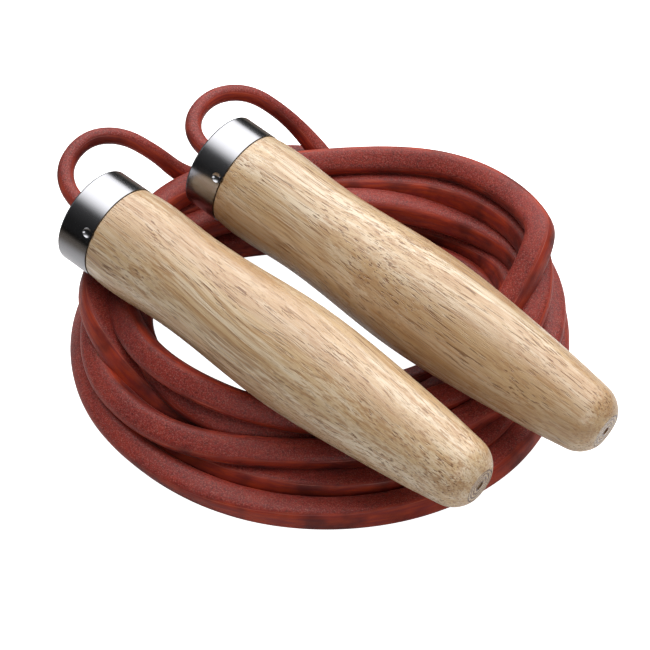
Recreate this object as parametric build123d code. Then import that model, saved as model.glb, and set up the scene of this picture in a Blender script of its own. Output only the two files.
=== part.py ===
from build123d import *
import math
import os

# A jump rope put down for storage: a leather rope in a loose coil on the floor, and two turned
# wooden handles side by side on top of it. Millimetres, +Z up.
# Positions of handles and rope are given from the middle of the coil on the floor. Everything is
# written out from ORIGIN, which is the middle of the box around the two handles.
ORIGIN = (2.4, -11.5, 37.7)

# The two handles: middle of the ferrule's outer face, then the bearing of the axis clockwise from
# +X and its fall toward the butt, both in degrees.
HANDLES = {
    "left": ((-72.4, 23.1, 41.0), 39.9, 4.0),
    "right": ((-33.8, 45.2, 43.0), 39.9, 5.8),
}

# Inside a handle, distances run along its axis from the ferrule's outer face.
# Grip: turned wood.
HANDLE_LENGTH = 153.0
GRIP_NOSE_R = 15.8
GRIP_OUTLINE = ((17.0, 16.25), (37.0, 15.5), (78.0, 17.0), (106.0, 15.75), (130.0, 13.3), (146.0, 11.1))
BUTT_FACE_R = 6.0
BUTT_ROUND = 1.06
BUTT_TAPER = -0.15
CENTRE_HOLE_R = 1.25
CENTRE_HOLE_DEPTH = 8.0

# Ferrule: a drawn steel cup, staked into the wood by punched dimples.
FERRULE_R = 16.0
FERRULE_LENGTH = 11.6
FERRULE_WALL = 0.8
FERRULE_FACE = 1.0
FERRULE_HOLE_R = 6.5
FERRULE_ROUND = 0.7
SEAM_GAP = 0.35
DIMPLE_R = 2.2
DIMPLE_DEPTH = 0.75
DIMPLE_FROM_FACE = 9.8
DIMPLE_ANGLES = (142.0, 262.0, 22.0)

# Ball bearing, 8 x 22 x 7.
BEARING_R = 11.0
BEARING_BORE_R = 4.0
BEARING_WIDTH = 7.0
INNER_RACE_R = 6.0
OUTER_RACE_LAND_R = 9.0
PITCH_R = 7.5
GROOVE_R = 2.06
BALL_R = 1.985
BALL_COUNT = 7
CAGE_INNER_R = 6.6
CAGE_OUTER_R = 8.4
CAGE_WIDTH = 5.2
CAGE_POCKET_R = 2.12
SHIELD_HOLE_R = 6.3
SHIELD_SEAT_R = 9.6
SHIELD_THICKNESS = 0.4
SHIELD_INSET = 0.15

# What holds the rope's end in the bearing.
BUSH_FLANGE_R = 5.6
BUSH_NOSE = 0.4
WASHER_R = 5.8
WASHER_THICKNESS = 1.0
CRIMP_R = 4.3
CRIMP_LENGTH = 10.0
ROPE_STUB = 1.5
CAVITY_R = 7.5
CAVITY_DEPTH = 25.0

# Rope: its thickness at the handles and in the coil, and the outer shape of the piled turns,
# a broad ring whose hole lies off centre and whose top falls toward the front.
TAIL_R = 2.7
ROPE_R = 4.4
COIL_CENTRE = (-0.2, 3.0)
COIL_RADII = (78.5, 73.5)
HOLE_CENTRE = (1.0, 14.5)
HOLE_RADII = (59.0, 30.0)
COIL_FRONT_TOP = 13.2
COIL_BACK_TOP = 20.4
COIL_ROUND = 3.0

# Routes of the rope between each handle and the coil, from the bush on, and of the stretch that
# crosses the hole of the coil under the right handle. Their ends run on into the coil.
TAIL_ROUTES = {
    "left": (
        (-79.8, 29.3, 41.7),
        (-82.6, 41.5, 42.9),
        (-76.5, 52.0, 43.3),
        (-65.5, 55.8, 41.0),
        (-55.0, 55.5, 34.0),
        (-47.5, 57.5, 24.5),
        (-39.5, 60.0, 15.0),
    ),
    "right": (
        (-41.2, 51.4, 43.8),
        (-43.2, 63.0, 44.2),
        (-36.5, 73.6, 43.2),
        (-25.0, 78.4, 40.3),
        (-13.5, 77.6, 32.0),
        (-4.5, 75.0, 21.5),
        (4.0, 71.5, 12.5),
    ),
}
CROSSING_ROUTE = (
    (9.0, 52.5, 8.5),
    (13.5, 41.5, 5.5),
    (19.0, 28.5, 4.5),
    (26.5, 14.5, 4.5),
    (36.0, 2.5, 6.0),
    (47.0, -6.0, 9.0),
)
ARC_SHARE = 0.45


def ring(outer_r, inner_r, start, length):
    """A ring about the handle's axis."""
    return Pos(0, 0, start) * extrude(Circle(outer_r) - Circle(inner_r), length)


def rod(radius, start, length):
    """A round bar on the handle's axis."""
    return Pos(0, 0, start) * extrude(Circle(radius), length)


def dimple_balls(radius):
    """Balls of the punch that dents the ferrule, with the given radius."""
    height = FERRULE_R + DIMPLE_R - DIMPLE_DEPTH
    return [
        Rot(0, 0, angle) * Pos(height, 0, DIMPLE_FROM_FACE) * Sphere(radius) for angle in DIMPLE_ANGLES
    ]


def grip():
    """Turned wooden handle: spigot, waist and belly, hollow for the bearing and the rope's end."""
    seam = FERRULE_LENGTH + SEAM_GAP
    spigot_r = FERRULE_R - FERRULE_WALL
    side_points = [(GRIP_NOSE_R, seam)] + [(radius, along) for along, radius in GRIP_OUTLINE]
    side = Spline(side_points, tangents=[(0.12, 1), (BUTT_TAPER, 1)])
    shoulder = SagittaArc(side @ 1, (BUTT_FACE_R, HANDLE_LENGTH), -BUTT_ROUND)
    rest = Polyline(
        (BUTT_FACE_R, HANDLE_LENGTH),
        (0, HANDLE_LENGTH),
        (0, FERRULE_FACE),
        (spigot_r, FERRULE_FACE),
        (spigot_r, seam),
        (GRIP_NOSE_R, seam),
    )
    body = revolve(Plane.XZ * make_face(side + shoulder + rest), Axis.Z)
    body -= rod(BEARING_R, FERRULE_FACE, BEARING_WIDTH)
    body -= rod(CAVITY_R, FERRULE_FACE, CAVITY_DEPTH)
    body -= rod(CENTRE_HOLE_R, HANDLE_LENGTH - CENTRE_HOLE_DEPTH, CENTRE_HOLE_DEPTH)
    for ball in dimple_balls(DIMPLE_R + FERRULE_WALL):
        body -= ball
    return body


def ferrule():
    """Drawn steel cup over the spigot, with a rounded outer edge and three staking dimples."""
    shell = rod(FERRULE_R, 0, FERRULE_LENGTH)
    shell = fillet(shell.edges().group_by(Axis.Z)[0], FERRULE_ROUND)
    shell -= rod(FERRULE_R - FERRULE_WALL, FERRULE_FACE, FERRULE_LENGTH)
    shell -= rod(FERRULE_HOLE_R, 0, FERRULE_FACE)
    room = rod(FERRULE_R - FERRULE_WALL / 2, FERRULE_FACE, FERRULE_LENGTH - FERRULE_FACE)
    for ball in dimple_balls(DIMPLE_R + FERRULE_WALL):
        shell += ball & room
    for ball in dimple_balls(DIMPLE_R):
        shell -= ball
    return shell


def ball_track():
    """The ring-shaped space that the bearing's balls roll in."""
    return Pos(0, 0, FERRULE_FACE + BEARING_WIDTH / 2) * Torus(PITCH_R, GROOVE_R)


def outer_race():
    """Outer race of the bearing, recessed at both ends for the shields."""
    seat = SHIELD_INSET + SHIELD_THICKNESS
    race = ring(BEARING_R, OUTER_RACE_LAND_R, FERRULE_FACE, BEARING_WIDTH)
    race -= rod(SHIELD_SEAT_R, FERRULE_FACE, seat)
    race -= rod(SHIELD_SEAT_R, FERRULE_FACE + BEARING_WIDTH - seat, seat)
    return race - ball_track()


def inner_race():
    """Inner race of the bearing."""
    return ring(INNER_RACE_R, BEARING_BORE_R, FERRULE_FACE, BEARING_WIDTH) - ball_track()


def shield(start):
    """Thin cover between the races."""
    return ring(SHIELD_SEAT_R, SHIELD_HOLE_R, start, SHIELD_THICKNESS)


def balls():
    """The bearing's balls."""
    middle = FERRULE_FACE + BEARING_WIDTH / 2
    turns = [Rot(0, 0, i * 360 / BALL_COUNT) for i in range(BALL_COUNT)]
    return Compound(children=[turn * Pos(PITCH_R, 0, middle) * Sphere(BALL_R) for turn in turns])


def ball_cage():
    """Ring with a pocket for each ball."""
    middle = FERRULE_FACE + BEARING_WIDTH / 2
    cage = ring(CAGE_OUTER_R, CAGE_INNER_R, middle - CAGE_WIDTH / 2, CAGE_WIDTH)
    for i in range(BALL_COUNT):
        turn = Rot(0, 0, i * 360 / BALL_COUNT)
        cage -= turn * Pos(PITCH_R, 0, middle) * Rot(0, 90, 0) * Cylinder(CAGE_POCKET_R, 4)
    return cage


def rope_bush():
    """Flanged sleeve that carries the rope in the bearing's bore."""
    flange = ring(BUSH_FLANGE_R, TAIL_R, -BUSH_NOSE, BUSH_NOSE + FERRULE_FACE)
    return flange + ring(BEARING_BORE_R, TAIL_R, FERRULE_FACE, BEARING_WIDTH)


def fillet_radii(points):
    """For each corner, a share of its shorter run over the tangent of half its turn."""
    radii = []
    for before, corner, after in zip(points, points[1:], points[2:]):
        run_in, run_out = corner - before, after - corner
        half_turn = math.radians(run_in.get_angle(run_out)) / 2
        radii.append(ARC_SHARE * min(run_in.length, run_out.length) / math.tan(half_turn))
    return radii


def tube(name, route, radius):
    """Round tube along straight runs joined by tangent arcs."""
    points = [Vector(*point) for point in route]
    radii = fillet_radii(points)
    print(name, "radii", [round(value, 1) for value in radii])
    path = FilletPolyline(*points, radius=radii)
    start = Plane(origin=path @ 0, z_dir=path % 0)
    body = sweep(start * Circle(radius), path=path)
    print(name, "volume", round(body.volume), "section x length", round(math.pi * radius**2 * path.length))
    return body


def rope_coil():
    """Outer shape of the piled turns."""
    height = COIL_BACK_TOP + COIL_ROUND
    outer = Pos(*COIL_CENTRE) * Ellipse(*COIL_RADII)
    hole = Pos(*HOLE_CENTRE) * Ellipse(*HOLE_RADII)
    front = COIL_CENTRE[1] - COIL_RADII[1]
    back = COIL_CENTRE[1] + COIL_RADII[1]
    profile = Polyline(
        (front, 0),
        (back, 0),
        (back, COIL_BACK_TOP),
        (front, COIL_FRONT_TOP),
        close=True,
    )
    wedge = extrude(Plane.YZ * make_face(profile), COIL_RADII[0] + 5, both=True)
    body = extrude(outer - hole, height) & wedge
    rims = body.faces().filter_by(GeomType.PLANE).edges()
    return fillet(rims, COIL_ROUND)


def handle_plane(side):
    """Plane on the ferrule's face with its normal into the handle and its Y axis upward."""
    face, turn, fall = HANDLES[side]
    turn, fall = math.radians(turn), math.radians(fall)
    along = (math.cos(turn) * math.cos(fall), -math.sin(turn) * math.cos(fall), -math.sin(fall))
    return Plane(origin=face, x_dir=(math.sin(turn), math.cos(turn), 0), z_dir=along)


bearing_end = FERRULE_FACE + BEARING_WIDTH
crimp_start = bearing_end + WASHER_THICKNESS
rope_end_length = BUSH_NOSE + crimp_start + CRIMP_LENGTH + ROPE_STUB
handle_parts = {
    "grip": grip(),
    "ferrule": ferrule(),
    "outer_race": outer_race(),
    "inner_race": inner_race(),
    "front_shield": shield(FERRULE_FACE + SHIELD_INSET),
    "rear_shield": shield(bearing_end - SHIELD_INSET - SHIELD_THICKNESS),
    "balls": balls(),
    "ball_cage": ball_cage(),
    "rope_bush": rope_bush(),
    "end_washer": ring(WASHER_R, TAIL_R, bearing_end, WASHER_THICKNESS),
    "crimp_sleeve": ring(CRIMP_R, TAIL_R, crimp_start, CRIMP_LENGTH),
    "rope_end": rod(TAIL_R, -BUSH_NOSE, rope_end_length),
}

coil = rope_coil()
nodes = {"rope_coil": coil, "rope_crossing": tube("rope_crossing", CROSSING_ROUTE, ROPE_R) - coil}
for side, route in TAIL_ROUTES.items():
    plane = handle_plane(side)
    for name, part in handle_parts.items():
        nodes[side + "_" + name] = plane * part
    mouth = plane.from_local_coords((0, 0, -BUSH_NOSE))
    name = side + "_rope_tail"
    nodes[name] = tube(name, (mouth,) + route, TAIL_R) - coil
    butt = plane.from_local_coords((0, 0, HANDLE_LENGTH))
    print(side, "mouth", mouth - Vector(*ORIGIN), "butt", butt - Vector(*ORIGIN), "axis", plane.z_dir)

solids = [solid for name, shape in nodes.items() if "rope" not in name for solid in shape.solids()]
print("middle of the handles' box", Compound(solids).bounding_box().center())

os.makedirs("parts", exist_ok=True)
for name, shape in nodes.items():
    moved = Pos(*(-value for value in ORIGIN)) * shape
    export_step(moved, "parts/" + name + ".step")
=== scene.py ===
import math

import bpy
import numpy as np
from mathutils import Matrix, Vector


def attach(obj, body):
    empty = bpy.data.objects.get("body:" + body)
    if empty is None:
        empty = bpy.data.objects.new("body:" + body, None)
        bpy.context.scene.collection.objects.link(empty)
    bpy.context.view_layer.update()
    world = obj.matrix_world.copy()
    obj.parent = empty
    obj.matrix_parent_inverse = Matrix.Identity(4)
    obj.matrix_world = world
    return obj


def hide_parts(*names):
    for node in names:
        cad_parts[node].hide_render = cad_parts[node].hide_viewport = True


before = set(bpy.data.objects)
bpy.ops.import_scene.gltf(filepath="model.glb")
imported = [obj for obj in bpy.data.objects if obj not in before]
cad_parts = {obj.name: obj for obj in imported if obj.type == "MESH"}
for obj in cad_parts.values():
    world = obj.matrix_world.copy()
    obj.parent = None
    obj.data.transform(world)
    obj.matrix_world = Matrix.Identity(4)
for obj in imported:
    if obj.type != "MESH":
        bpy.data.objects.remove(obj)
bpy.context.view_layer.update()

MM = 0.001
# The middle of the box around the handles, from the middle of the coil on the floor, as in the CAD.
ORIGIN = np.array((2.4, -11.5, 37.7))

# ---------------------------------------------------------------- camera
CAMERA_ELEVATION = math.radians(49)
CAMERA_DISTANCE = 0.750
SENSOR_WIDTH = 36
LENS = 132.3
LOOK_AT = Vector((np.array((0.0, 0.0, 15.0)) - ORIGIN) * MM)


def make_camera():
    data = bpy.data.cameras.new("camera")
    data.sensor_width = SENSOR_WIDTH
    data.lens = LENS
    camera = bpy.data.objects.new("camera", data)
    back = Vector((0, -math.cos(CAMERA_ELEVATION), math.sin(CAMERA_ELEVATION)))
    camera.location = LOOK_AT + back * CAMERA_DISTANCE
    camera.rotation_euler = (math.radians(90) - CAMERA_ELEVATION, 0, 0)
    bpy.context.scene.collection.objects.link(camera)
    bpy.context.scene.camera = camera


make_camera()

# ---------------------------------------------------------------- the rope's line
# Millimetres from the middle of the coil on the floor, as in the CAD. A handle is given by the
# middle of its mouth, the degrees it turns to the front and the degrees it falls.
HANDLES = {
    "left": ((-72.4, 23.1, 41.0), 39.9, 4.0),
    "right": ((-33.8, 45.2, 43.0), 39.9, 5.8),
}
HANDLE_LENGTH = 153.0
# Pairs of a distance from the mouth and the handle's radius there.
HANDLE_OUTLINE = (
    (0, 16.0),
    (16, 16.0),
    (37, 15.5),
    (78, 17.0),
    (106, 15.75),
    (130, 13.3),
    (153, 11.0),
)
# The bush stands this far out of the mouth, and the rope's line starts there.
BUSH_NOSE = 0.4
ROPE_R = 4.4
TAIL_R = 2.7
# From either end the rope has its tail's radius up to the first distance along it, and its full
# radius from the second.
THINNING = (55, 110)
LEFT_TAIL = (
    (-79.8, 29.3, 41.7),
    (-83.0, 41.5, 43.6),
    (-76.5, 53.0, 45.0),
    (-65.5, 57.0, 42.8),
    (-55.0, 56.5, 35.0),
    (-47.5, 57.5, 24.5),
    (-39.5, 60.0, 15.0),
    (-28.0, 60.5, 8.0),
)
RIGHT_TAIL = (
    (-41.2, 51.4, 43.8),
    (-43.0, 63.0, 44.6),
    (-36.3, 74.2, 44.0),
    (-24.8, 78.8, 40.9),
    (-13.5, 77.6, 32.0),
    (-4.5, 75.0, 21.5),
    (3.0, 67.5, 11.5),
)
CROSSING = (
    (8.0, 56.0, 5.5),
    (12.0, 45.0, 4.6),
    (17.0, 32.0, 4.6),
    (22.5, 19.0, 4.6),
    (28.0, 6.5, 5.5),
    (35.0, -3.5, 9.0),
    (46.5, -11.0, 12.5),
    (57.5, -7.0, 14.5),
)
# The middle and the two radii of the ellipses that the turns lie between.
OUTER = ((-0.2, 3.0), (74.1, 69.1))
INNER = ((1.0, 14.5), (63.4, 34.4))
# The rise from one layer to the next.
LAYER = 7.7
# A row for each turn and a column for each eighth of the way round, from the coil's right. Inward
# is 0 on the outer ellipse and 1 on the inner one, and layer 0 lies on the floor.
TURN_INWARD = (
    (0.30, 0.10, 0.47, 0.15, 0.62, 0.50, 0.62, 0.64),
    (1.00, 0.40, 0.62, 0.45, 0.30, 0.50, 0.74, 0.85),
    (0.75, 0.65, 0.90, 0.80, 0.80, 0.45, 0.59, 0.64),
    (1.20, 0.60, 0.66, 0.66, 0.80, 0.58, 0.94, 1.08),
    (1.50, 1.20, 1.05, 1.05, 0.20, 0.20, 0.40, 0.43),
    (0.45, 0.15, 0.05, 0.10, 0.56, 0.22, 0.23, 0.24),
    (0.75, 0.15, 0.24, 0.15, -0.12, 0.00, 0.00, -0.03),
    (0.15, -0.20, -0.15, -0.20),
)
TURN_LAYER = (
    (3.20, 2.40, 2.00, 1.90, 2.40, 2.00, 1.05, 1.10),
    (2.20, 1.40, 1.05, 1.20, 1.90, 0.20, 0.10, 0.10),
    (1.70, 1.00, 1.00, 1.00, 1.60, 1.60, 0.00, 0.00),
    (0.90, 0.00, 0.00, 0.00, 0.60, 1.00, 0.10, 0.00),
    (0.00, 0.00, 0.00, 0.00, 1.00, 0.60, 0.60, 0.40),
    (1.00, 1.00, 1.00, 1.10, 0.00, 0.00, 0.00, 0.00),
    (0.00, 0.10, 0.00, 0.00, 0.00, 0.00, 0.00, 0.00),
    (0.00, 0.00, 0.00, 0.00),
)
POINTS_PER_TURN = 28
START_ANGLE = 8.0
END_ANGLE = 7 * 360 + 100.0


def handle_axis(side):
    """The middle of a handle's mouth, and the way from there to its butt."""
    face, turn, fall = HANDLES[side]
    turn, fall = math.radians(turn), math.radians(fall)
    along = (math.cos(turn) * math.cos(fall), -math.sin(turn) * math.cos(fall), -math.sin(fall))
    return np.array(face), np.array(along)


def smooth(t):
    return t * t * (3 - 2 * t)


def between_eighths(table, eighth):
    """A value read from a table of turns, with a smooth step from one eighth to the next."""
    number = int(math.floor(eighth))
    share = smooth(eighth - number)
    low, high = (table[n // 8][n % 8] for n in (number, number + 1))
    return low * (1 - share) + high * share


def on_ellipse(ellipse, angle):
    middle, radii = ellipse
    c, s = math.cos(math.radians(angle)), math.sin(math.radians(angle))
    return np.array((middle[0] + radii[0] * c, middle[1] + radii[1] * s))


def coil_point(angle):
    """Where the coil's line is meant to lie at an angle that grows with each turn."""
    inward = between_eighths(TURN_INWARD, angle / 45.0)
    layer = between_eighths(TURN_LAYER, angle / 45.0)
    flat = on_ellipse(OUTER, angle) * (1 - inward) + on_ellipse(INNER, angle) * inward
    return (flat[0], flat[1], ROPE_R + LAYER * layer)


def rope_plan():
    """Control points of the whole rope from the right handle to the left one, and how many at each
    end stay put."""
    face, along = handle_axis("right")
    points = [tuple(face - along * BUSH_NOSE)]
    points += RIGHT_TAIL + CROSSING
    steps = int(round((END_ANGLE - START_ANGLE) / 360 * POINTS_PER_TURN))
    for i in range(steps + 1):
        points.append(coil_point(START_ANGLE + (END_ANGLE - START_ANGLE) * i / steps))
    points += reversed(LEFT_TAIL)
    face, along = handle_axis("left")
    points.append(tuple(face - along * BUSH_NOSE))
    return np.array(points), len(RIGHT_TAIL) - 1, len(LEFT_TAIL) - 2


# ---------------------------------------------------------------- how the turns settle
ROUNDS = 500
# The weight fades to a share of itself, and the last rounds have none, so that nothing is left
# pressed into what lies below.
WEIGHT = 0.16
FADED = 0.3
LAST_ROUNDS = 60
# Places read along the line between two control points.
SAMPLES = 4
# Two places push each other apart only when they are further apart than this along the rope, and
# nearer than the second distance through the air. The pairs are picked again every few rounds.
ALONG_ROPE = 26
THROUGH_AIR = 14
PICK_EVERY = 8
# Strands lie this share of their thickness apart, since leather gives a little where they touch.
TOUCH = 0.95
# The pushes on a place are summed and divided by their number to this power.
CROWDING = 0.6
# A control point moves this much further than the places near it.
FOLLOW = 1.6
# The room kept over the floor, round a handle and past its ends.
FLOOR_ROOM = 0.35
HANDLE_ROOM = 0.6
HANDLE_ENDS = 3
# The share of the way back to its plan, seen from above, that a control point goes in each round,
# and what is added to it at first.
SPRING = 0.02
FIRST_SPRING = 0.03
# The outermost turn is held to its plan this much more, between these angles.
OUTER_STAY = 12
OUTER_ANGLES = (6 * 360 + 130, 7 * 360 + 30)
# How much of a kink goes away in each round, sideways and upward.
ROUNDING = np.array((0.35, 0.35, 0.12))
# The least distance that is divided by.
TINY = 1e-6


def line_weights(count):
    """How much of each control point goes into each place read along the line."""
    starts = np.repeat(np.arange(count - 2), SAMPLES)
    u = np.tile((np.arange(SAMPLES) + 0.5) / SAMPLES, count - 2)
    rows = np.arange(len(u))
    weights = np.zeros((len(u), count))
    weights[rows, starts] = 0.5 * (1 - u) ** 2
    weights[rows, starts + 1] = 0.5 + u - u * u
    weights[rows, starts + 2] = 0.5 * u * u
    return weights


def freedom(count, held_first, held_last):
    """How freely each control point moves: not at all at the handles, half as much just past."""
    free = np.ones(count)
    free[: held_first + 1] = 0
    free[count - held_last - 1 :] = 0
    free[held_first + 1 : held_first + 3] = 0.5
    free[count - held_last - 3 : count - held_last - 1] = 0.5
    return free


def hold_to_plan(count):
    """How strongly each control point is drawn back to its plan."""
    stay = np.ones(count)
    first = 1 + len(RIGHT_TAIL) + len(CROSSING)
    angles = START_ANGLE + (np.arange(count) - first) * 360 / POINTS_PER_TURN
    stay[(angles > OUTER_ANGLES[0]) & (angles < OUTER_ANGLES[1])] = OUTER_STAY
    return stay


def near_pairs(line, far):
    gap = np.linalg.norm(line[:, None, :] - line[None, :, :], axis=2)
    i, j = np.nonzero((gap < THROUGH_AIR) & far)
    keep = i < j
    return i[keep], j[keep]


def push_apart(line, rope_r, pairs):
    """How far each place has to move for the strands to lie side by side."""
    i, j = pairs
    delta = line[j] - line[i]
    dist = np.maximum(np.linalg.norm(delta, axis=1), TINY)
    push = np.maximum((rope_r[i] + rope_r[j]) * TOUCH - dist, 0) * 0.5
    way = delta / dist[:, None] * push[:, None]
    hit = (push > 0).astype(float)
    move = np.zeros_like(line)
    count = np.zeros(len(line))
    for ends, sign in ((i, -1), (j, 1)):
        np.add.at(move, ends, sign * way)
        np.add.at(count, ends, hit)
    return move / np.maximum(count, 1)[:, None] ** CROWDING


def push_clear(line, rope_r, move):
    """Adds to move what keeps the line above the floor and outside the handles."""
    below = rope_r + FLOOR_ROOM - (line[:, 2] + move[:, 2])
    move[:, 2] += np.maximum(below, 0)
    stations, radii = zip(*HANDLE_OUTLINE)
    for side in HANDLES:
        face, along = handle_axis(side)
        out = line - face
        run = out @ along
        radial = out - run[:, None] * along
        size = np.maximum(np.linalg.norm(radial, axis=1), TINY)
        room = np.interp(run, stations, radii) + rope_r + HANDLE_ROOM
        beside = (run > -HANDLE_ENDS) & (run < HANDLE_LENGTH + HANDLE_ENDS)
        over = np.where(beside, np.maximum(room - size, 0), 0)
        move += radial / size[:, None] * over[:, None]


def settle(plan, held_first, held_last):
    """Lets the turns lie down on the floor and on each other, one rope's thickness apart."""
    weights = line_weights(len(plan))
    total = weights.sum(0)
    free = freedom(len(plan), held_first, held_last)
    stay = hold_to_plan(len(plan))
    steps = np.linalg.norm(np.diff(weights @ plan, axis=0), axis=1)
    arc = np.concatenate(([0], np.cumsum(steps)))
    rope_r = np.interp(np.minimum(arc, arc[-1] - arc), THINNING, (TAIL_R, ROPE_R))
    far = np.abs(arc[:, None] - arc[None, :]) > ALONG_ROPE
    points = plan.copy()
    for step in range(ROUNDS):
        line = weights @ points
        if step % PICK_EVERY == 0:
            pairs = near_pairs(line, far)
        move = push_apart(line, rope_r, pairs)
        push_clear(line, rope_r, move)
        change = (weights.T @ move) / total[:, None] * FOLLOW
        points += change * free[:, None]
        early = 1 - step / ROUNDS
        weight = WEIGHT if step < ROUNDS - LAST_ROUNDS else 0
        points[:, 2] -= weight * (FADED + (1 - FADED) * early) * free
        spring = SPRING + FIRST_SPRING * early
        points[:, :2] += (plan - points)[:, :2] * spring * (free * stay)[:, None]
        away = points - plan
        even = away.copy()
        even[1:-1] = 0.25 * away[:-2] + 0.5 * away[1:-1] + 0.25 * away[2:]
        points += (even - away) * ROUNDING * free[:, None]
        points[:, 2] = np.maximum(points[:, 2], np.where(free > 0, TAIL_R, 0))
    return points


# ---------------------------------------------------------------- the rope's mesh
ROPE_SIDES = 32
# How much wider and lower than twice its radius the squarish full section is.
WIDER = 0.03
LOWER = 0.04
# Waves of twist along the rope, each as its most radians, its rate per metre and its start.
TWIST = ((0.5, 9.0, 0.0), (0.35, 23.0, 1.0))


def nurbs(points, name):
    """A curve of one open NURBS spline through the given control points, in metres."""
    data = bpy.data.curves.new(name, "CURVE")
    data.dimensions = "3D"
    spline = data.splines.new("NURBS")
    spline.points.add(len(points) - 1)
    for point, co in zip(spline.points, points):
        point.co = (*co, 1)
    spline.order_u = 3
    spline.use_endpoint_u = True
    spline.resolution_u = 10
    return data


def read_line(points, name):
    """Points along that spline, read from it."""
    data = nurbs(points, name)
    carrier = bpy.data.objects.new(name, data)
    bpy.context.scene.collection.objects.link(carrier)
    mesh = bpy.data.meshes.new_from_object(carrier)
    line = np.array([v.co for v in mesh.vertices])
    bpy.data.objects.remove(carrier)
    bpy.data.meshes.remove(mesh)
    return line


def tube_mesh(name, line, section, sides):
    """A mesh tube along line. section gives the outline at each point as (sideways, up) offsets.
    Its UVs are the share of the way round and the metres along."""
    count = len(line)
    tangent = np.gradient(line, axis=0)
    tangent /= np.linalg.norm(tangent, axis=1)[:, None]
    side = np.cross(tangent, np.array((0, 0, 1.0)))
    side /= np.linalg.norm(side, axis=1)[:, None]
    up = np.cross(side, tangent)
    arc = np.concatenate(([0], np.cumsum(np.linalg.norm(np.diff(line, axis=0), axis=1))))
    verts = []
    for i in range(count):
        outline = section(arc[i], arc[-1])
        verts.append(line[i] + outline[:, :1] * side[i] + outline[:, 1:] * up[i])
    verts = np.concatenate(verts)
    faces, coords = [], []
    for i in range(count - 1):
        for k in range(sides):
            a, b = i * sides + k, i * sides + (k + 1) % sides
            faces.append((a, b, b + sides, a + sides))
            here, there = k / sides, (k + 1) / sides
            coords += [(here, arc[i]), (there, arc[i]), (there, arc[i + 1]), (here, arc[i + 1])]
    faces.append(tuple(range(sides))[::-1])
    faces.append(tuple((count - 1) * sides + k for k in range(sides)))
    coords += [(0, 0)] * (2 * sides)
    mesh = bpy.data.meshes.new(name)
    mesh.from_pydata(verts.tolist(), [], faces)
    mesh.uv_layers.new(name="rope").data.foreach_set("uv", np.array(coords).ravel())
    mesh.polygons.foreach_set("use_smooth", [True] * len(mesh.polygons))
    mesh.update()
    return mesh


def rope_section(at, total):
    """The rope's outline, round at the thin ends and squarish and a little twisted in the coil."""
    end = min(at, total - at)
    thin, full = (distance * MM for distance in THINNING)
    grown = smooth(min(1, max(0, (end - thin) / (full - thin))))
    radius = (TAIL_R + (ROPE_R - TAIL_R) * grown) * MM
    around = np.arange(ROPE_SIDES) * 2 * math.pi / ROPE_SIDES
    c, s = np.cos(around), np.sin(around)
    power = 2 / (2 + grown)
    x = np.sign(c) * np.abs(c) ** power * radius * (1 + WIDER * grown)
    y = np.sign(s) * np.abs(s) ** power * radius * (1 - LOWER * grown)
    twist = sum(most * math.sin(at * rate + start) for most, rate, start in TWIST)
    turn_c, turn_s = math.cos(twist * grown), math.sin(twist * grown)
    return np.stack((x * turn_c - y * turn_s, x * turn_s + y * turn_c), axis=1)


def make_rope():
    points = (settle(*rope_plan()) - ORIGIN) * MM
    line = read_line(points, "rope_line")
    mesh = tube_mesh("rope", line, rope_section, ROPE_SIDES)
    rope = bpy.data.objects.new("rope", mesh)
    bpy.context.scene.collection.objects.link(rope)
    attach(rope, "rope")
    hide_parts("rope_coil", "rope_crossing", "left_rope_tail", "right_rope_tail")
    return rope


rope = make_rope()


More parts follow.
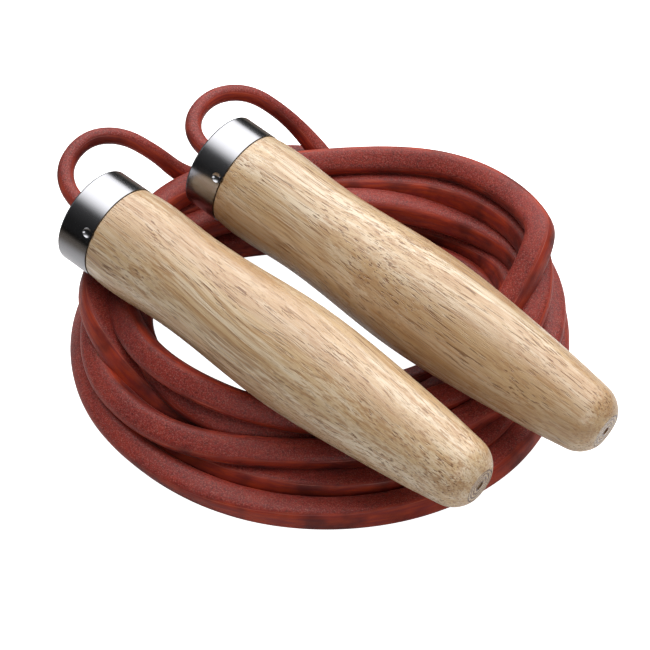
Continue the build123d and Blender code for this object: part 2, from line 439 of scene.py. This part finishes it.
# ---------------------------------------------------------------- materials
class Graph:
    """A material's nodes, with a short way to add and join them."""

    def __init__(self, name):
        self.made = bpy.data.materials.new(name)
        self.made.use_nodes = True
        self.tree = self.made.node_tree
        self.shader = self.tree.nodes["Principled BSDF"]

    def node(self, kind, inputs=(), **settings):
        made = self.tree.nodes.new(kind)
        for key, value in settings.items():
            setattr(made, key, value)
        for key, value in dict(inputs).items():
            if isinstance(value, bpy.types.NodeSocket):
                self.tree.links.new(value, made.inputs[key])
            else:
                made.inputs[key].default_value = value
        return made

    def math(self, operation, a, b=0.0):
        return self.node("ShaderNodeMath", {0: a, 1: b}, operation=operation).outputs[0]

    def times(self, a, b):
        return self.math("MULTIPLY", a, b)

    def flipped(self, value):
        return self.math("SUBTRACT", 1.0, value)

    def between(self, value, low, high, most=1.0):
        """0 where value is below low, most where it is above high, and a smooth step between."""
        inputs = {"Value": value, "From Min": low, "From Max": high, "To Max": most}
        return self.node("ShaderNodeMapRange", inputs, interpolation_type="SMOOTHSTEP").outputs[0]

    def vector(self, x, y, z):
        return self.node("ShaderNodeCombineXYZ", {"X": x, "Y": y, "Z": z}).outputs[0]

    def vector_math(self, operation, a, b=(0.0, 0.0, 0.0), out="Vector"):
        made = self.node("ShaderNodeVectorMath", {0: a, 1: tuple(b)}, operation=operation)
        return made.outputs[out]

    def dot(self, vector, way):
        return self.vector_math("DOT_PRODUCT", vector, way, "Value")

    def length(self, vector):
        return self.vector_math("LENGTH", vector, out="Value")

    def noise(self, vector, scale, detail=2.0, roughness=0.5):
        inputs = {"Vector": vector, "Scale": scale, "Detail": detail, "Roughness": roughness}
        return self.node("ShaderNodeTexNoise", inputs).outputs["Fac"]

    def mix(self, share, a, b):
        """A share of color b over color a."""
        a, b = ((*c, 1) if isinstance(c, tuple) else c for c in (a, b))
        return self.node("ShaderNodeMix", {0: share, 6: a, 7: b}, data_type="RGBA").outputs[2]

    def bump(self, height, strength, distance, before=None):
        inputs = {"Height": height, "Strength": strength, "Distance": distance}
        if before is not None:
            inputs["Normal"] = before
        return self.node("ShaderNodeBump", inputs).outputs[0]

    def coords(self, kind):
        return self.node("ShaderNodeTexCoord").outputs[kind]

    def set(self, name, value):
        if isinstance(value, bpy.types.NodeSocket):
            self.tree.links.new(value, self.shader.inputs[name])
        elif isinstance(value, tuple) and len(value) == 3:
            self.shader.inputs[name].default_value = (*value, 1)
        else:
            self.shader.inputs[name].default_value = value


LEATHER_DARK = (0.050, 0.007, 0.007)
LEATHER_RED = (0.225, 0.024, 0.019)
LEATHER_ORANGE = (0.37, 0.043, 0.014)
# The pale colour is used for grain specks that are partly a painted sheen, and for the painted
# highlight on the ridges.
LEATHER_GRAIN_AND_SHEEN = (0.58, 0.24, 0.20)
# Where on the way from the middle of a face, at 0, to the middle of a flank, at 0.5, the face ends
# and the ridge between them lies, and how far that line wanders.
FACE_END = (0.15, 0.29)
RIDGE_AT = 0.27
RIDGE_WIDTH = 0.03
RIDGE_WANDER = 0.16


def leather_sides(g):
    """How much a spot on the rope is on a face and under the painted highlight along the ridges,
    and the streaks drawn out along the rope."""
    split = g.node("ShaderNodeSeparateXYZ", {0: g.coords("UV")})
    around, along = split.outputs["X"], split.outputs["Y"]
    wander = g.noise(g.vector(0.0, along, 0.0), 34, 2)
    quarter = g.math("FRACT", g.times(around, 2.0))
    from_face = g.math("ABSOLUTE", g.math("SUBTRACT", quarter, 0.5))
    shift = g.times(g.math("SUBTRACT", wander, 0.5), RIDGE_WANDER)
    from_face = g.math("ADD", from_face, shift)
    face = g.flipped(g.between(from_face, *FACE_END))
    from_ridge = g.math("ABSOLUTE", g.math("SUBTRACT", from_face, RIDGE_AT))
    ridge_highlight_band = g.flipped(g.between(from_ridge, 0.0, RIDGE_WIDTH))
    patch = g.noise(g.vector(g.times(around, 3.0), along, 0.0), 55, 3)
    # The painted highlight along the ridges, in patches.
    painted_ridge_highlight = g.times(ridge_highlight_band, g.between(patch, 0.50, 0.68))
    drawn = g.vector(g.times(around, 0.028), g.times(along, 0.10), 0.0)
    return face, painted_ridge_highlight, g.noise(drawn, 1100, 3)


def leather(name, with_sides):
    """Oiled red leather: grained, darker faces top and bottom, smooth orange flanks between them,
    and pale ridges where they meet, which are a painted highlight. The pale specks in the faces'
    grain are partly grain and partly a painted sheen. Without sides it is an even mix of the two."""
    g = Graph(name)
    spot = g.coords("Object")
    # A noise is given by its scale, detail and roughness.
    blotch = g.noise(spot, 60, 3, 0.6)
    mottle = g.noise(spot, 1500, 3, 0.6)
    grain = g.noise(spot, 2800, 2, 0.6)
    face, ridge_highlight_band, streak = leather_sides(g) if with_sides else (0.5, 0.0, mottle)
    flank = g.mix(g.between(streak, 0.32, 0.68), LEATHER_RED, LEATHER_ORANGE)
    flank = g.mix(g.between(blotch, 0.42, 0.70, 0.75), flank, LEATHER_DARK)
    top = g.mix(g.between(mottle, 0.27, 0.60), LEATHER_DARK, LEATHER_RED)
    # Pale specks in the faces' grain, partly a painted sheen.
    top = g.mix(g.between(grain, 0.50, 0.66, 0.38), top, LEATHER_GRAIN_AND_SHEEN)
    color = g.mix(g.times(face, 0.75), flank, top)
    # Painted highlight: pale colour laid along the ridges between faces and flanks.
    color = g.mix(g.times(ridge_highlight_band, 0.5), color, LEATHER_GRAIN_AND_SHEEN)
    g.set("Base Color", color)
    rough = g.math("ADD", g.between(mottle, 0.3, 0.7, 0.14), 0.40)
    g.set("Roughness", g.math("SUBTRACT", rough, g.times(ridge_highlight_band, 0.12)))
    g.set("Specular IOR Level", 0.22)
    g.set("Sheen Weight", 0.05)
    g.set("Sheen Roughness", 0.4)
    g.set("Sheen Tint", (1.0, 0.70, 0.75))
    height = g.math("ADD", g.times(mottle, 0.7), g.times(grain, 0.3))
    fine = g.bump(height, 0.45, 0.00030)
    g.set("Normal", g.bump(blotch, 0.25, 0.0012, fine))
    return g.made


WOOD_PALE = (0.665, 0.535, 0.375)
WOOD_LIGHT = (0.555, 0.385, 0.215)
WOOD_TAN = (0.375, 0.205, 0.090)
WOOD_PORE = (0.16, 0.065, 0.022)
# How far each handle's piece of wood is turned in the log, in radians.
WOOD_TURN = {"left": 0.6, "right": 2.3}
# How far the grain leans off the handle's axis, and how far it waves across it, in metres.
GRAIN_TILT = 0.07
GRAIN_WAVE = 0.005
# The lathe rings' pitch and reach, and the hole in their middle, in metres.
RING_PITCH = 0.0013
TURNED_RING_R = 0.0058
CENTRE_HOLE_R = 0.00125


def turned_butt(g, run, flat):
    """The lathe rings on the butt's flat end, and a painted shade in the centre hole in their
    middle.
    """
    radius = g.length(flat)
    butt = g.between(run, (HANDLE_LENGTH - 0.6) * MM, (HANDLE_LENGTH - 0.3) * MM)
    middle = g.flipped(g.between(radius, TURNED_RING_R - 0.0004, TURNED_RING_R))
    turned = g.times(butt, middle)
    ring = g.math("SINE", g.times(radius, 2 * math.pi / RING_PITCH))
    rings = g.times(turned, g.between(ring, -0.2, 0.9))
    # The centre hole, painted dark as its shade.
    centre_hole_shade = g.flipped(g.between(radius, 0.9 * CENTRE_HOLE_R, 1.4 * CENTRE_HOLE_R))
    return rings, g.times(centre_hole_shade, turned)


def wood(side):
    """Waxed pale hardwood with its grain along the handle, dark open pores and lathe rings at the
    butt."""
    g = Graph(side + "_hardwood")
    face, along = handle_axis(side)
    across = np.cross((0, 0, 1.0), along)
    across /= np.linalg.norm(across)
    up = np.cross(along, across)
    turn = WOOD_TURN[side]
    one = across * math.cos(turn) + up * math.sin(turn)
    two = -across * math.sin(turn) + up * math.cos(turn)

    # The wood's own axes: run along the handle, y and z across it, with y waving along the grain.
    spot = g.vector_math("SUBTRACT", g.coords("Object"), (face - ORIGIN) * MM)
    run = g.dot(spot, along)
    y = g.math("ADD", g.dot(spot, one + GRAIN_TILT * along), 0.3 * turn)
    z = g.dot(spot, two - 0.5 * GRAIN_TILT * along)
    wave = g.noise(g.vector(g.times(run, 0.35), y, z), 60, 2)
    y = g.math("ADD", y, g.times(wave, GRAIN_WAVE))

    def grain(stretch, flat, scale, detail, roughness=0.5):
        """Noise drawn out along the handle, and wider one way than the other across it."""
        place = g.vector(g.times(run, stretch), y, g.times(z, flat))
        return g.noise(place, scale, detail, roughness)

    # A noise is given by its stretch along the handle, its flatness across it, its scale, its
    # detail and its roughness.
    bands = grain(0.05, 0.6, 420, 4, 0.62)
    broad = grain(0.12, 0.7, 85, 2)
    lines = grain(0.018, 1.0, 1250, 3, 0.6)
    fibre = grain(0.014, 1.0, 2600, 2, 0.6)
    streaks = grain(0.035, 0.8, 240, 2)
    pore = grain(0.045, 1.0, 2600, 1.0)
    clusters = grain(0.15, 0.8, 150, 2)
    drawn = g.times(g.between(streaks, 0.50, 0.60), g.between(fibre, 0.42, 0.56))
    dense = g.math("ADD", g.between(clusters, 0.42, 0.58, 0.45), 0.35)
    pores = g.times(g.between(pore, 0.585, 0.66), dense)
    rings, centre_hole_shade = turned_butt(g, run, g.vector(g.dot(spot, across), g.dot(spot, up), 0.0))

    color = g.mix(g.between(bands, 0.36, 0.62), WOOD_PALE, WOOD_LIGHT)
    for share, tone in (
        (g.between(broad, 0.46, 0.64, 0.45), WOOD_TAN),
        (g.between(lines, 0.52, 0.61, 0.72), WOOD_TAN),
        (g.between(fibre, 0.50, 0.64, 0.45), WOOD_TAN),
        (g.times(drawn, 0.60), WOOD_TAN),
        (pores, WOOD_PORE),
        (g.times(rings, 0.8), WOOD_PORE),
        # The painted shade in the centre hole.
        (centre_hole_shade, WOOD_PORE),
    ):
        color = g.mix(share, color, tone)
    g.set("Base Color", color)
    rough = g.math("ADD", g.between(fibre, 0.35, 0.65, 0.18), 0.20)
    g.set("Roughness", g.math("ADD", rough, g.times(pores, 0.25)))
    g.set("Specular IOR Level", 0.5)
    g.set("Coat Weight", 0.35)
    g.set("Coat Roughness", 0.20)
    normal = g.bump(g.flipped(pores), 0.6, 0.00022)
    normal = g.bump(fibre, 0.45, 0.00016, normal)
    normal = g.bump(rings, 1.0, 0.0006, normal)
    g.set("Normal", normal)
    g.set("Coat Normal", normal)
    return g.made


STEEL = (0.30, 0.30, 0.315)
STEEL_ROUGH = 0.16
# The ferrule's polished front face ends between the first two distances from the mouth, in
# millimetres, and the rim behind it, which carries a painted dark reflection, ends at the third.
FACE_END_RUN = (0.04, 0.08)
PAINTED_DARK_RIM = 0.5
RIM_PAINTED_REFLECTION = (0.05, 0.05, 0.055)
RIM_ROUGH = 0.7


def metal_marks(g, lines, brush):
    """Presses fine lines into metal, and gives what they and soft smudges add to its roughness."""
    smudge = g.noise(g.coords("Object"), 90, 3, 0.6)
    g.set("Normal", g.bump(lines, brush, 0.00004))
    marks = g.times(g.math("SUBTRACT", lines, 0.5), 0.10)
    return g.math("ADD", marks, g.times(smudge, 0.10))


def metal(name, color, rough, brush):
    """Plain metal with small marks, for the parts inside the handles."""
    g = Graph(name)
    marks = metal_marks(g, g.noise(g.coords("Object"), 2400, 3, 0.7), brush)
    g.set("Base Color", color)
    g.set("Metallic", 1.0)
    g.set("Roughness", g.math("ADD", marks, rough))
    return g.made


def ferrule_steel(side):
    """Polished steel with faint turning marks round the handle's axis, and a rim with a painted
    dark reflection.
    """
    g = Graph(side + "_polished_steel")
    mouth, along = handle_axis(side)
    start = float(np.dot((mouth - ORIGIN) * MM, along))
    run = g.math("SUBTRACT", g.dot(g.coords("Object"), along), start)
    marks = metal_marks(g, g.noise(g.vector(run, 0.0, 0.0), 5200, 3, 0.7), 0.10)
    # Up to the rim's end the steel is painted dark, matte and not metallic: a painted dark
    # reflection.
    past = g.between(run, PAINTED_DARK_RIM * MM, 1.3 * PAINTED_DARK_RIM * MM)
    face = g.flipped(g.between(run, *(distance * MM for distance in FACE_END_RUN)))
    polished = g.math("MAXIMUM", past, face)
    g.set("Base Color", g.mix(polished, RIM_PAINTED_REFLECTION, STEEL))
    g.set("Metallic", polished)
    g.set("Specular IOR Level", 0.0)
    rough = g.math("SUBTRACT", RIM_ROUGH, g.times(polished, RIM_ROUGH - STEEL_ROUGH))
    g.set("Roughness", g.math("ADD", marks, rough))
    return g.made


def paint(obj, made):
    obj.data.materials.clear()
    obj.data.materials.append(made)


brass = metal("brass", (0.74, 0.52, 0.22), 0.2, 0.3)
bearing_steel = metal("bearing_steel", (0.60, 0.61, 0.63), 0.12, 0.15)
shield_steel = metal("shield_steel", (0.42, 0.42, 0.43), 0.28, 0.4)
LOOKS = {
    "rope_end": leather("rope_end_leather", False),
    "rope_bush": brass,
    "ball_cage": brass,
    "crimp_sleeve": brass,
    "front_shield": shield_steel,
    "rear_shield": shield_steel,
    "end_washer": shield_steel,
}
for side in HANDLES:
    LOOKS[side + "_grip"] = wood(side)
    LOOKS[side + "_ferrule"] = ferrule_steel(side)
paint(rope, leather("rope_leather", True))
for name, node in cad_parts.items():
    kind = name.split("_", 1)[1]
    paint(node, LOOKS.get(name) or LOOKS.get(kind, bearing_steel))

# ---------------------------------------------------------------- stage and light
# The floor lies just below the rope, and what metal shows of it just above itself.
FLOOR_Z = -ORIGIN[2] * MM - 0.00005
FAR_Z = FLOOR_Z + 0.0005
FLOOR_REACH = 3.0
FLOOR_WHITE = (0.72, 0.72, 0.72)
FLOOR_GLOW = 1.1
# Distances from the middle between which the far floor comes in, and between which its light goes
# out.
FAR_START = (0.10, 0.18)
FAR_FADE = (0.16, 0.42)
FAR_COLOR = (0.30, 0.26, 0.22, 1.0)
FAR_GLOW = 0.9
# The way to the panel's middle, its light, and the cosines of the angles from its middle at which
# the light starts and is full.
PANEL_WAY = (0.10, 0.60, 0.79)
PANEL_LIGHT = 3.5
PANEL_EDGE = (0.50, 0.94)
# Heights on the unit sphere between which the panel's light comes in, and between which the dim
# light grows from its least to its most.
PANEL_RISE = (0.20, 0.30)
DIM_RISE = (0.3, 1.0)
DIM_LIGHT = (0.03, 0.10)
FILL_PLACE = (0.35, -1.0, 0.75)
FILL_SIZE = (0.8, 0.6)
FILL_POWER = 4


def make_plane(name, z):
    """A square of floor that reaches FLOOR_REACH each way at height z."""
    ways = ((-1, -1), (1, -1), (1, 1), (-1, 1))
    corners = [(x * FLOOR_REACH, y * FLOOR_REACH, z) for x, y in ways]
    mesh = bpy.data.meshes.new(name)
    mesh.from_pydata(corners, [], [(0, 1, 2, 3)])
    made = bpy.data.objects.new(name, mesh)
    bpy.context.scene.collection.objects.link(made)
    return made


def make_floor():
    """White floor that glows toward the camera alone, so that it looks evenly white."""
    floor = make_plane("floor", FLOOR_Z)
    g = Graph("floor_white")
    direct = g.node("ShaderNodeLightPath").outputs["Is Camera Ray"]
    g.set("Base Color", FLOOR_WHITE)
    g.set("Roughness", 0.9)
    g.set("Specular IOR Level", 0.0)
    g.set("Emission Color", (1.0, 1.0, 1.0))
    g.set("Emission Strength", g.times(direct, FLOOR_GLOW))
    paint(floor, g.made)


def make_far_floor():
    """What polished metal shows of the floor further out, where the studio goes dark."""
    card = make_plane("far_floor", FAR_Z)
    card.visible_camera = card.visible_diffuse = card.visible_shadow = False
    g = Graph("far_floor")
    out = g.length(g.vector_math("MULTIPLY", g.coords("Object"), (1.0, 1.0, 0.0)))
    near = g.flipped(g.between(out, *FAR_START))
    fade = g.flipped(g.between(out, *FAR_FADE))
    strength = g.times(fade, FAR_GLOW)
    glow = g.node("ShaderNodeEmission", {"Color": FAR_COLOR, "Strength": strength})
    clear = g.node("ShaderNodeBsdfTransparent")
    both = g.node("ShaderNodeMixShader", {0: near, 1: glow.outputs[0], 2: clear.outputs[0]})
    g.tree.links.new(both.outputs[0], g.tree.nodes["Material Output"].inputs["Surface"])
    paint(card, g.made)


def make_fill():
    """A low front light that opens up the shadows."""
    data = bpy.data.lights.new("fill", "AREA")
    data.shape = "RECTANGLE"
    data.size, data.size_y = FILL_SIZE
    data.energy = FILL_POWER
    lamp = bpy.data.objects.new("fill", data)
    lamp.location = FILL_PLACE
    lamp.rotation_euler = (-Vector(FILL_PLACE)).to_track_quat("-Z", "Y").to_euler()
    bpy.context.scene.collection.objects.link(lamp)


def make_world():
    """A dark studio with one broad soft panel high at the back, in front of a white wall."""
    world = bpy.data.worlds.new("studio")
    bpy.context.scene.world = world
    world.use_nodes = True
    nodes, links = world.node_tree.nodes, world.node_tree.links

    def ranged(value, low, high, to_low, to_high):
        made = nodes.new("ShaderNodeMapRange")
        made.interpolation_type = "SMOOTHSTEP"
        links.new(value, made.inputs["Value"])
        made.inputs["From Min"].default_value = low
        made.inputs["From Max"].default_value = high
        made.inputs["To Min"].default_value = to_low
        made.inputs["To Max"].default_value = to_high
        return made.outputs[0]

    def combine(operation, a, b):
        made = nodes.new("ShaderNodeMath")
        made.operation = operation
        links.new(a, made.inputs[0])
        links.new(b, made.inputs[1])
        return made.outputs[0]

    ray = nodes.new("ShaderNodeTexCoord").outputs["Generated"]
    toward = nodes.new("ShaderNodeVectorMath")
    toward.operation = "DOT_PRODUCT"
    links.new(ray, toward.inputs[0])
    toward.inputs[1].default_value = Vector(PANEL_WAY).normalized()
    split = nodes.new("ShaderNodeSeparateXYZ")
    links.new(ray, split.inputs[0])
    height = split.outputs["Z"]
    panel = ranged(toward.outputs["Value"], *PANEL_EDGE, 0.0, PANEL_LIGHT)
    lit = combine("MULTIPLY", panel, ranged(height, *PANEL_RISE, 0.0, 1.0))
    total = combine("ADD", lit, ranged(height, *DIM_RISE, *DIM_LIGHT))
    direct = nodes.new("ShaderNodeLightPath").outputs["Is Camera Ray"]
    links.new(combine("MAXIMUM", total, direct), nodes["Background"].inputs["Strength"])
    nodes["Background"].inputs["Color"].default_value = (1, 1, 1, 1)


make_floor()
make_far_floor()
make_world()
make_fill()
bpy.context.scene.view_settings.view_transform = "Standard"
